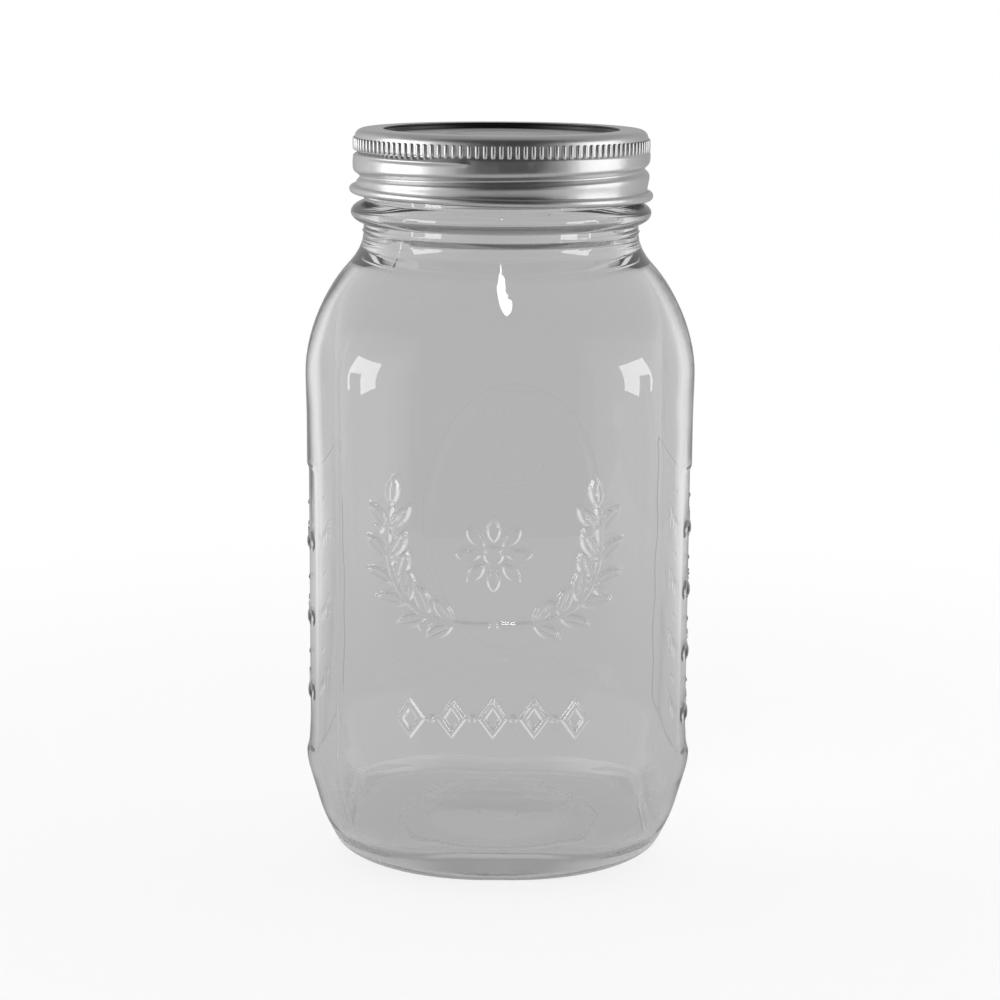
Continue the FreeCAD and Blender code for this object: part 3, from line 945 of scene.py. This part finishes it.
    def _waves(self, angle: Array, height: Array, half: Array) -> Array:
        """Slow unevenness of the blown inside."""
        calm = smooth((150.0 - height) / 10.0) * smooth(half / 20.0)
        slow = np.sin(3 * angle + 0.7) * np.sin(height / 9.5) + np.sin(7 * angle + height / 13.0)
        quick = 0.5 * np.sin(11 * angle - height / 6.1) * np.sin(height / 4.3 + 1.1)
        return self.waviness * calm * (slow + quick) / 1.6

    def _grid(self) -> bmesh.types.BMesh:
        """The coarse grid wrapped on a cylinder whose height is the way along the outline."""
        bm = bmesh.new()
        turns = [TURN * (i + 0.5) / self.columns for i in range(self.columns)]
        rings = [[bm.verts.new((math.sin(a), -math.cos(a), v)) for a in turns] for v in self.rows]
        for low, high in zip(rings, rings[1:]):
            for i in range(self.columns):
                j = (i + 1) % self.columns
                bm.faces.new((low[i], low[j], high[j], high[i]))
        return bm

    def _refine(self, bm: bmesh.types.BMesh, level: int) -> None:
        """Cut the faces that lie near an outline of the relief."""
        size = self.coarse / 2 ** level
        faces = list(bm.faces)
        middle = np.array([f.calc_center_median()[:] for f in faces])
        angle = np.mod(np.arctan2(middle[:, 0], -middle[:, 1]), TURN)
        half, _, height, zone, side, lean, s = self._locate(angle, middle[:, 2])
        near = self.relief.survey(side, s, height)[1]
        seam = np.where(self._seamed(angle), np.abs(lean - QUARTER / 2) * half, FAR)
        near = np.minimum(near, seam + 0.3 * level)
        chosen = (zone == Zone.BODY.value) & (near < 0.75 * size + 0.2)
        edges = dict.fromkeys(e for face, take in zip(faces, chosen) if take for e in face.edges)
        bmesh.ops.subdivide_edges(bm, edges=list(edges), cuts=1, use_grid_fill=True)

    def _normals(self, angle: Array, along: Array) -> Array:
        """Unit normals from small steps over the surface, upright at the two poles."""
        step = 0.03
        turn = step / 45.0
        over = self.place(angle + turn, along) - self.place(angle - turn, along)
        up = self.place(angle, along + step) - self.place(angle, along - step)
        normal = np.cross(over, up)
        poles = (along <= 1e-6) | (along >= self.outline[-1, 0] - 1e-6)
        poles = poles | (np.linalg.norm(normal, axis=1) < 1e-15)
        normal[poles] = 0.0
        normal[poles, 2] = np.where(along[poles] < 1.0, -1.0, 1.0)
        return normal / np.linalg.norm(normal, axis=1)[:, None]

    def mesh(self) -> Mesh:
        """The refined skin with its poles merged and normals taken from the true surface."""
        bm = self._grid()
        for level in range(self.levels):
            self._refine(bm, level)
        bm.verts.ensure_lookup_table()
        wrapped = np.array([v.co[:] for v in bm.verts])
        angle, along = np.arctan2(wrapped[:, 0], -wrapped[:, 1]), wrapped[:, 2]
        for vert, point in zip(bm.verts, self.place(angle, along)):
            vert.co = point
        mesh = bpy.data.meshes.new("glass_body")
        bm.to_mesh(mesh)
        bm.free()
        carried = mesh.attributes.new("facing", "FLOAT_VECTOR", "POINT")
        carried.data.foreach_set("vector", self._normals(angle, along).ravel())
        bm = bmesh.new()
        bm.from_mesh(mesh)
        bmesh.ops.remove_doubles(bm, verts=bm.verts, dist=MERGED)
        bmesh.ops.triangulate(bm, faces=[f for f in bm.faces if len(f.verts) > 4])
        for face in bm.faces:
            face.smooth = True
        bm.to_mesh(mesh)
        bm.free()
        facing = np.zeros(len(mesh.vertices) * 3)
        mesh.attributes["facing"].data.foreach_get("vector", facing)
        mesh.normals_split_custom_set_from_vertices(facing.reshape(-1, 3).tolist())
        mesh.attributes.remove(mesh.attributes["facing"])
        return mesh

    def build(self, glass: Material) -> Piece:
        """The glass piece in place of its solid."""
        return finish_piece(new_piece("jar_glass", self.mesh(), [glass]), "clear_glass", "glass_jar")


# ---------------------------------------------------------------- screw band


@dataclass
class ScrewBand:
    """Rolled sheet: flange, rounded shoulder, knurled skirt, rolled thread and wired edge."""

    top: float
    bottom: float
    opening: float = 28.55
    lip: float = 0.3
    sheet: float = 0.32
    skirt: float = 35.6
    shoulder: float = 2.1
    bulge: float = 36.1
    drawn_in: float = 0.7
    drawn_over: float = 5.0
    groove_depth: float = 1.25
    groove_width: float = 0.95
    groove_start: float = 166.0
    pitch: float = 6.35
    wound: tuple = (-190.0, 347.0)
    run_out: float = 25.0
    ledge_span: tuple = (-110.0, -12.0)
    ledge_ends: tuple = (30.0, 2.5)
    ledge_level: float = 171.7
    ledge_half: float = 0.55
    ledge_lift: float = 0.45
    knurl_count: int = 120
    knurl_top: float = 176.0
    knurl_length: float = 3.3
    knurl_width: float = 1.2
    knurl_proud: float = 0.5
    knurl_ends: float = 0.28
    curl: float = 0.74
    tilt: float = 0.73
    columns: int = 288

    def _profile(self) -> Array:
        """Half section (radius, height) of the outer face, from the opening to inside the curl."""
        top, low, flat_end = self.top, self.bottom + self.curl, self.skirt - self.shoulder
        lip = arc((self.opening + self.lip, top - self.lip), self.lip, 240.0, 90.0, 8)
        flat = [(r, top) for r in np.linspace(self.opening + 2 * self.lip, flat_end, 8)]
        bend = arc((flat_end, top - self.shoulder), self.shoulder, 82.0, 0.0, 12)
        wall = [(self.skirt, z) for z in np.linspace(top - self.shoulder - 0.2, low + 0.9, 58)]
        roll = arc((self.skirt + 0.3, low), self.curl, 195.0, 505.0, 26)
        return np.vstack([lip, flat, bend, wall, roll])

    def _groove(self, angle: Array, height: Array) -> Array:
        """Depth share of the rolled thread at an angle in degrees from the front."""
        out = np.zeros(angle.shape)
        for turn in (-1, 0, 1):
            wound = angle + 360.0 * turn
            level = self.groove_start + self.pitch * (wound + 90.0) / 360.0
            ends = (smooth((wound - self.wound[0]) / self.run_out)
                    * smooth((self.wound[1] - wound) / self.run_out))
            out = np.maximum(out, ends * bell(height - level, self.groove_width))
        return out

    def _ledge(self, angle: Array, height: Array) -> Array:
        """The last of the rolled thread, a rib under the knurls that stops at the left."""
        (start, end), (gentle, sharp) = self.ledge_span, self.ledge_ends
        ends = smooth((angle - start) / gentle) * smooth((end - angle) / sharp)
        return self.ledge_lift * ends * bell(height - self.ledge_level, self.ledge_half)

    def _shape(self, angle: Array, radius: Array, height: Array) -> Array:
        """Points in millimetres of the section turned to an angle, with thread and unevenness."""
        low = self.bottom + self.curl * 2
        wall = smooth((height - low + 0.3) / 0.8) * smooth((self.knurl_top - 2.6 - height) / 1.0)
        wall = wall * (radius > self.skirt - 0.2) * (radius < self.skirt + 0.1)
        degrees = np.degrees(angle)
        swell = (self.bulge - self.skirt) - self.groove_depth * self._groove(degrees, height)
        swell = swell + self._ledge(degrees, height)
        swell = swell - self.drawn_in * smooth((low + self.drawn_over - height) / self.drawn_over)
        uneven = 0.05 * np.sin(3 * angle + 0.4) * np.sin(height * 0.9) + 0.03 * np.sin(9 * angle)
        return self._leaning(cylinder(angle, radius + wall * (swell + uneven), height))

    def _leaning(self, points: Array) -> Array:
        """Lower the right and lift the left of the skirt, most at its foot."""
        share = np.clip((self.top - points[:, 2]) / (self.top - self.bottom), 0.0, 1.0)
        points[:, 2] -= self.tilt * share * points[:, 0] / self.skirt
        return points

    def skin(self, metal: Material) -> Piece:
        """The sheet with its thickness."""
        mesh = turned("screw_band_sheet", self._profile(), self.columns, self._shape)
        piece = new_piece("band_sheet", mesh, [metal])
        solid = piece.modifiers.new("Thickness", "SOLIDIFY")
        solid.thickness = self.sheet * MM
        solid.offset = -1.0
        solid.use_even_offset = True
        applied(piece)
        return finish_piece(piece, "band_metal", "screw_band")

    def _knurl_tree(self, metal: Material) -> tuple[bpy.types.NodeTree, dict]:
        """The tree that sets teeth round the skirt, and its inputs' identifiers and values."""
        group = bpy.data.node_groups.new("KnurlRing", "GeometryNodeTree")
        group.interface.new_socket("Geometry", in_out="OUTPUT", socket_type="NodeSocketGeometry")
        sizes = {"Radius": self.skirt, "Level": self.knurl_top - self.knurl_length / 2,
                 "Tooth Width": self.knurl_width, "Tooth Length": self.knurl_length,
                 "Tooth Depth": self.knurl_proud * 2}
        given = {"Count": ("NodeSocketInt", self.knurl_count)}
        given.update({name: ("NodeSocketFloat", size * MM) for name, size in sizes.items()})
        keys = {name: group.interface.new_socket(name, in_out="INPUT", socket_type=kind).identifier
                for name, (kind, _) in given.items()}
        tree = emptied(group, "NodeGroupOutput")
        entry = group.nodes.new("NodeGroupInput")
        port = {name: Link(tree, entry.outputs[name]) for name in given}
        sphere = tree.node("GeometryNodeMeshUVSphere",
                         inputs={"Segments": 12, "Rings": 8, "Radius": 1.0})
        x, y, z = tree.split(tree.node("GeometryNodeInputPosition"))
        boxy = tree.node("ShaderNodeCombineXYZ", inputs={
            0: x * port["Tooth Depth"] * 0.5,
            1: y * port["Tooth Width"] * 0.5,
            2: z.sign() * abs(z) ** self.knurl_ends * port["Tooth Length"] * 0.5})
        tooth = tree.node("GeometryNodeSetPosition", inputs={"Geometry": sphere, "Position": boxy})
        tooth = tree.node("GeometryNodeSetShadeSmooth", inputs={"Geometry": tooth})
        ring = tree.node("GeometryNodeMeshCircle",
                         inputs={"Vertices": port["Count"], "Radius": port["Radius"]})
        turn = tree.node("GeometryNodeInputIndex") * (TURN / self.knurl_count)
        facing = tree.node("ShaderNodeCombineXYZ", inputs={2: turn})
        set_out = tree.node("GeometryNodeInstanceOnPoints",
                            inputs={"Points": ring, "Instance": tooth, "Rotation": facing},
                            output="Instances")
        lifted = tree.node("GeometryNodeTransform", inputs={
            "Geometry": set_out,
            "Translation": tree.node("ShaderNodeCombineXYZ", inputs={2: port["Level"]})})
        real = tree.node("GeometryNodeRealizeInstances", inputs={"Geometry": lifted})
        tree.wire(tree.node("GeometryNodeSetMaterial",
                            inputs={"Geometry": real, "Material": metal}), "Geometry")
        return group, {keys[name]: value for name, (_, value) in given.items()}

    def knurls(self, metal: Material) -> Piece:
        """The raised teeth of the grip, which lean with the skirt."""
        piece = new_piece("band_knurls", bpy.data.meshes.new("knurl_seed"), [])
        maker = piece.modifiers.new("Knurls", "NODES")
        maker.node_group, values = self._knurl_tree(metal)
        for key, value in values.items():
            maker[key] = value
        applied(piece)
        for vert in piece.data.vertices:
            vert.co = self._leaning(np.array([vert.co[:]]) / MM)[0] * MM
        return finish_piece(piece, "band_metal", "screw_band")

    def build(self, metal: Material) -> list[Piece]:
        """Both pieces of the band."""
        return [self.skin(metal), self.knurls(metal)]


# ---------------------------------------------------------------- lid


@dataclass
class LidDisc:
    """The flat closure disc: rim, steep wall of the lowered middle and one pressed rib."""

    radius: float
    top: float
    sheet: float = 0.5
    edge: float = 0.3
    well_radius: float = 28.3
    well_depth: float = 0.9
    well_wall: float = 0.4
    rib_radius: float = 14.0
    rib_half: float = 1.0
    rib_lift: float = 0.5
    crown: float = 0.15
    columns: int = 192

    def _section(self) -> Array:
        """Closed half section (radius, height), over the top and back underneath."""
        wall = self.well_radius - self.well_wall
        radius = np.concatenate([
            np.linspace(0.0, wall - 0.4, 66), np.linspace(wall - 0.2, self.well_radius + 0.1, 20),
            np.linspace(self.well_radius + 0.4, self.radius - self.edge, 8)])
        level = self.top - self.well_depth * smooth((self.well_radius - radius) / self.well_wall)
        level = level + self.crown * smooth(1.0 - radius / wall)
        level = level + self.rib_lift * smooth(1.0 - np.abs(radius - self.rib_radius) / self.rib_half)
        over = np.column_stack([radius, level])
        under = over[::-1] - np.array([0.0, self.sheet])
        edge = arc((self.radius - self.edge, self.top - self.edge), self.edge, 90.0, 0.0, 6)[1:]
        return np.vstack([over, edge, [[self.radius, self.top - self.sheet + 0.1]], under])

    def build(self, metal: Material) -> Piece:
        """Turn the section, close its two poles and dress it."""
        mesh = turned("closure_disc", self._section(), self.columns, cylinder)
        bm = bmesh.new()
        bm.from_mesh(mesh)
        bmesh.ops.remove_doubles(bm, verts=bm.verts, dist=MERGED)
        bmesh.ops.recalc_face_normals(bm, faces=bm.faces)
        bm.to_mesh(mesh)
        bm.free()
        return finish_piece(new_piece("closure_disc", mesh, [metal]), "lid_metal", "lid_disc")


@dataclass
class SealingRing:
    """The ring of compound under the disc, which keeps its solid."""

    node: Piece

    def build(self, compound: Material) -> None:
        """Give the solid its finish in all its slots."""
        if not self.node.material_slots:
            self.node.data.materials.append(compound)
        for slot in self.node.material_slots:
            slot.material = compound
        LOG.info("%s keeps its solid", self.node.name)


# ---------------------------------------------------------------- studio


@dataclass
class Studio:
    """Pale floor, side boxes for the metal, windows and a strip for the glass, the camera."""

    white: float = 1.0
    sweep: float = 0.50
    sides: float = 0.82
    above: float = 0.5
    front: float = 0.045
    back: float = 0.48
    left: float = 0.75
    right: float = 0.60
    ceiling: float = 0.42
    ceiling_front: float = 0.04
    near_floor: float = 0.5
    far_floor: float = 0.85
    # Grey and reach of a painted shadow on the floor under the jar, seen through the glass.
    painted_shadow_grey: float = 0.44
    painted_shadow_reach: tuple = (0.030, 0.075)
    ambient: float = 1.0
    floor_half: float = 0.46
    floor_drop: float = 0.00005
    floor_colour: float = 0.86
    shadow_reach: tuple = (0.12, 0.42)
    shadow_share: float = 0.3
    tin_place: tuple = (0.85, -0.12, 0.22)
    tin_aim: tuple = (0.0, 0.0, 0.16)
    tin_size: tuple = (0.70, 0.70)
    tin_powers: tuple = (2.3, 1.7)
    strip_place: tuple = (0.003, -0.18, 0.85)
    strip_aim: tuple = (0.003, -0.179, 0.0)
    strip_size: tuple = (0.010, 1.0)
    strip_power: float = 0.42
    window_off: float = 0.75
    window_glow: float = 20.0
    window_span: tuple = (-0.64, -0.36, -0.19, -0.16)
    window_foot: tuple = (-0.022, 0.24, 0.0)
    window_head: float = 0.52
    lens: float = 95.69
    pitch: float = 11.02
    roll: float = 0.362
    viewpoint: tuple = (0.00017, -0.6493, 0.21275)

    def world(self) -> None:
        """White to the camera, a grey sweep seen through glass, a darker room in reflections."""
        world = bpy.data.worlds.new("StudioRoom")
        bpy.context.scene.world = world
        world.use_nodes = True
        tree = emptied(world.node_tree, "ShaderNodeOutputWorld")
        x, y, z = tree.split(tree.node("ShaderNodeTexCoord", output="Generated"))
        ceiling = tree.mix(y.between(-0.55, 0.25), self.ceiling_front, self.ceiling)
        room = tree.mix(y.between(-0.6, 0.6), self.front, self.back)
        room = tree.mix((z * -1.0).between(0.12, 0.45), room, self.near_floor)
        room = tree.mix(x.between(0.45, 0.9), room, self.right)
        room = tree.mix((x * -1.0).between(0.3, 0.75), room, self.left)
        room = tree.mix(z.between(0.35, 0.8), room, ceiling)
        behind = tree.mix(abs(x).between(0.18, 0.55), self.sweep, self.sides)
        behind = tree.mix(z.between(0.25, 0.8), behind, self.above)
        level = tree.mix(tree.ray("Is Glossy Ray"), self.ambient, room)
        level = tree.mix(tree.ray("Is Transmission Ray"), level, behind)
        level = tree.mix(tree.ray("Is Camera Ray"), level, self.white)
        tree.wire(tree.node("ShaderNodeBackground", inputs={"Color": level}))

    def floor(self) -> None:
        """A pale floor that keeps the shadow, fades to white, is darker when reflected and, seen
        through glass, carries a painted shadow near the jar.
        """
        material, tree = new_material("studio_floor")
        x, y, _ = tree.split(tree.place())
        away = (x * x + y * y) ** 0.5
        share = away.between(*self.shadow_reach) * self.shadow_share + (1.0 - self.shadow_share)
        pale = tree.node("ShaderNodeBsdfDiffuse", inputs={"Color": shade(self.floor_colour)})
        seen = tree.either(share, pale, tree.emission(self.white))
        # Painted shadow: seen through the glass, the floor is a darker grey close under the jar.
        through = tree.mix(away.between(*self.painted_shadow_reach), self.painted_shadow_grey, self.sweep)
        through = tree.mix(abs(x).between(0.10, 0.35), through, self.sides)
        mirrored = tree.mix(y.between(-0.3, 0.3), self.near_floor, self.back)
        mirrored = tree.mix(abs(x).between(0.12, 0.5), mirrored, self.far_floor)
        refracted = tree.ray("Is Transmission Ray")
        tone = tree.emission(tree.mix(refracted, mirrored, through))
        tree.wire(tree.either(tree.ray("Is Glossy Ray").most(refracted), seen, tone))
        bm = bmesh.new()
        bmesh.ops.create_grid(bm, x_segments=8, y_segments=8, size=self.floor_half)
        mesh = bpy.data.meshes.new("floor")
        bm.to_mesh(mesh)
        bm.free()
        plane = new_piece("studio_floor", mesh, [material])
        plane.location.z = -self.floor_drop

    @staticmethod
    def lamp(name: str, place: tuple, aim: tuple, size: tuple, power: float,
             only: bpy.types.Collection, shape: str = "RECTANGLE") -> None:
        """A soft box for one collection, which glass and camera look past."""
        light = bpy.data.lights.new(name, "AREA")
        light.shape = shape
        light.size, light.size_y = size
        light.energy = power
        lamp = bpy.data.objects.new(name, light)
        bpy.context.collection.objects.link(lamp)
        lamp.location = place
        lamp.rotation_euler = (Vector(aim) - Vector(place)).to_track_quat("-Z", "Y").to_euler()
        lamp.visible_camera = False
        lamp.visible_transmission = False
        lamp.light_linking.receiver_collection = only

    def lights(self, glass: Piece, metal: Sequence[Piece]) -> None:
        """Side boxes for the metal; for the glass, a window each side and a strip overhead."""
        shiny, tins = (bpy.data.collections.new(name) for name in ("glinting_glass", "lit_metal"))
        shiny.objects.link(glass)
        for piece in metal:
            tins.objects.link(piece)
        for side, hand, power in zip(("left", "right"), (-1, 1), self.tin_powers):
            place = (hand * self.tin_place[0], *self.tin_place[1:])
            self.lamp(f"tin_{side}", place, self.tin_aim, self.tin_size, power, tins)
            self._window(side, hand, shiny)
        self.lamp("strip", self.strip_place, self.strip_aim, self.strip_size, self.strip_power,
                  shiny, "ELLIPSE")

    def _window(self, side: str, hand: int, shiny: bpy.types.Collection) -> None:
        """A bright window round a dark pane, at the left or at the right."""
        spans = zip(self.window_span, self.window_span[1:], self.window_foot)
        for i, (start, end, foot) in enumerate(spans):
            y, z = (start + end) / 2, (foot + self.window_head) / 2
            width, height = end - start, self.window_head - foot
            self.lamp(f"window_{side}_{i}", (hand * self.window_off, y, z), (0.0, y, z),
                      (width, height), self.window_glow * width * height, shiny)

    def camera(self) -> None:
        """The camera at the viewing angle."""
        data = bpy.data.cameras.new("view")
        data.lens = self.lens
        data.sensor_width = 36.0
        camera = bpy.data.objects.new("view", data)
        bpy.context.collection.objects.link(camera)
        turned_up = Matrix.Rotation(math.radians(90.0 - self.pitch), 4, "X")
        rolled = Matrix.Rotation(math.radians(self.roll), 4, "Z")
        camera.matrix_world = Matrix.Translation(self.viewpoint) @ turned_up @ rolled
        bpy.context.scene.camera = camera

    def build(self, glass: Piece, metal: Sequence[Piece]) -> None:
        """Everything round the object."""
        bpy.context.scene.view_settings.view_transform = "Standard"
        self.camera()
        self.world()
        self.floor()
        self.lights(glass, metal)


# ---------------------------------------------------------------- the whole


def main() -> None:
    """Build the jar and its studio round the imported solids."""
    logging.basicConfig(level=logging.INFO, format="%(name)s: %(message)s")
    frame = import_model()
    low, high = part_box("glass_jar")
    glass = GlassJar(half=high[0] / MM, tall=high[2] / MM).build(ClearGlass().material())
    low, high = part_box("screw_band")
    # Painted shade darkens the band's lip round the opening and the steep wall of the disc's lowered
    # middle.
    band_tin = SatinTin("band_tin", painted_shade_ring=(0.0, 0.02872))
    metal = ScrewBand(top=high[2] / MM, bottom=low[2] / MM).build(band_tin.material())
    low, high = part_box("lid_disc")
    disc_tin = SatinTin("disc_tin", colour=0.50, roughness=0.3, painted_shade_ring=(0.0278, 0.0288))
    metal.append(LidDisc(radius=high[0] / MM, top=high[2] / MM).build(disc_tin.material()))
    SealingRing(frame["nodes"]["sealing_ring"]).build(SealCompound().material())
    Studio().build(glass, metal)


if __name__ == "__main__":
    main()
